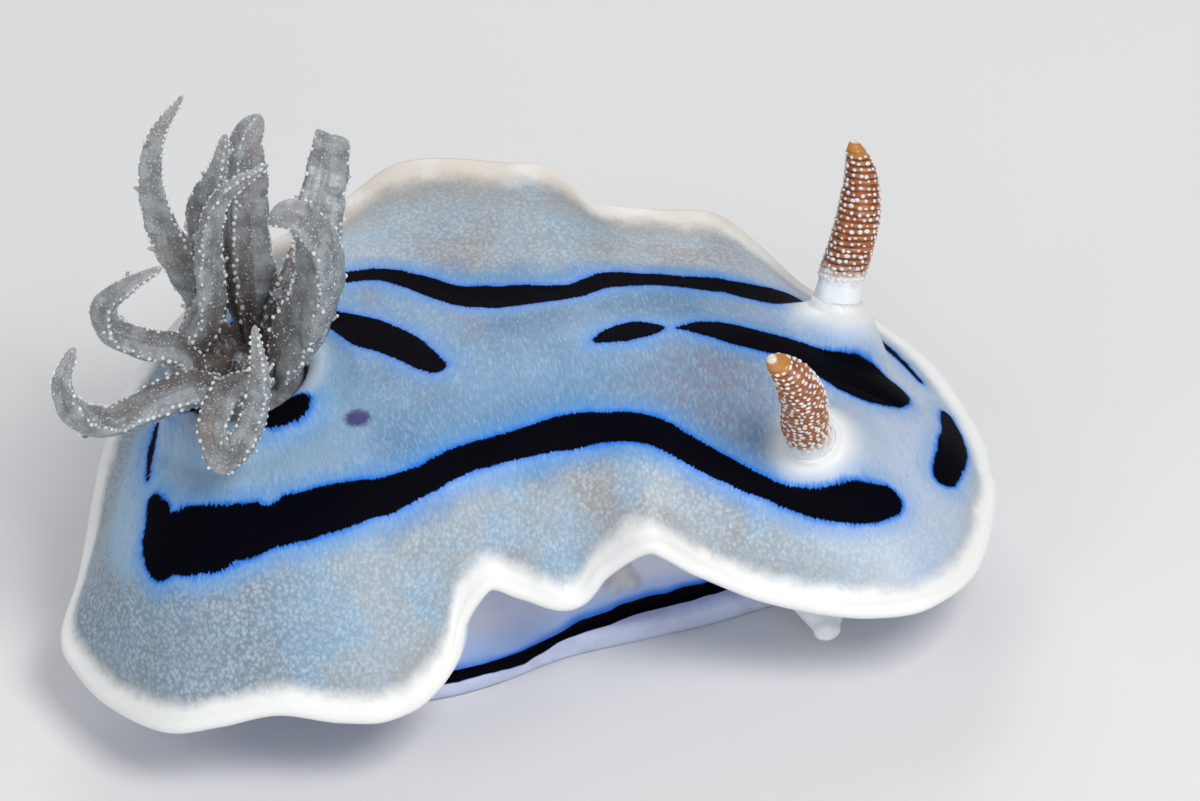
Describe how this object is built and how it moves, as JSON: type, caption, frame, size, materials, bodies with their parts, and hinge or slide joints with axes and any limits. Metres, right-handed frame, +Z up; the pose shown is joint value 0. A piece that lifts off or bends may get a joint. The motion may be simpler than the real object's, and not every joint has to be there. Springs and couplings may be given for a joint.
{
  "type": "chromodoris willani nudibranch model",
  "caption": "Life-size dorid sea slug resting on its foot, with a ruffled mantle, lamellate rhinophores and a plume of curled gills.",
  "frame": {"origin": "on the flat sole of the foot, under the middle of the back", "axes": "+X towards the head, +Y towards the animal's left, +Z up, away from the floor"},
  "size_m": [0.0466, 0.0306, 0.0286],
  "materials": {
    "mantle": "wet pale blue skin with black stripes and a white rim",
    "body": "wet lilac-grey skin",
    "foot": "wet pale blue skin",
    "gill": "wet translucent grey with white specks",
    "rhinophore": "wet orange-brown with white specks",
    "tentacle": "wet white skin"
  },
  "bodies": {
    "root": {"mantle": "mantle", "head": "body", "trunk": "body", "foot": "foot", "tail": "foot", "oral_tentacle_left": "tentacle", "oral_tentacle_right": "tentacle", "rhinophore_left": "rhinophore", "rhinophore_right": "rhinophore", "gill_base": "gill", "gill_01": "gill", "gill_02": "gill", "gill_03": "gill", "gill_04": "gill", "gill_05": "gill", "gill_06": "gill", "gill_07": "gill", "gill_08": "gill", "gill_09": "gill", "gill_10": "gill"}
  },
  "joints": []
}
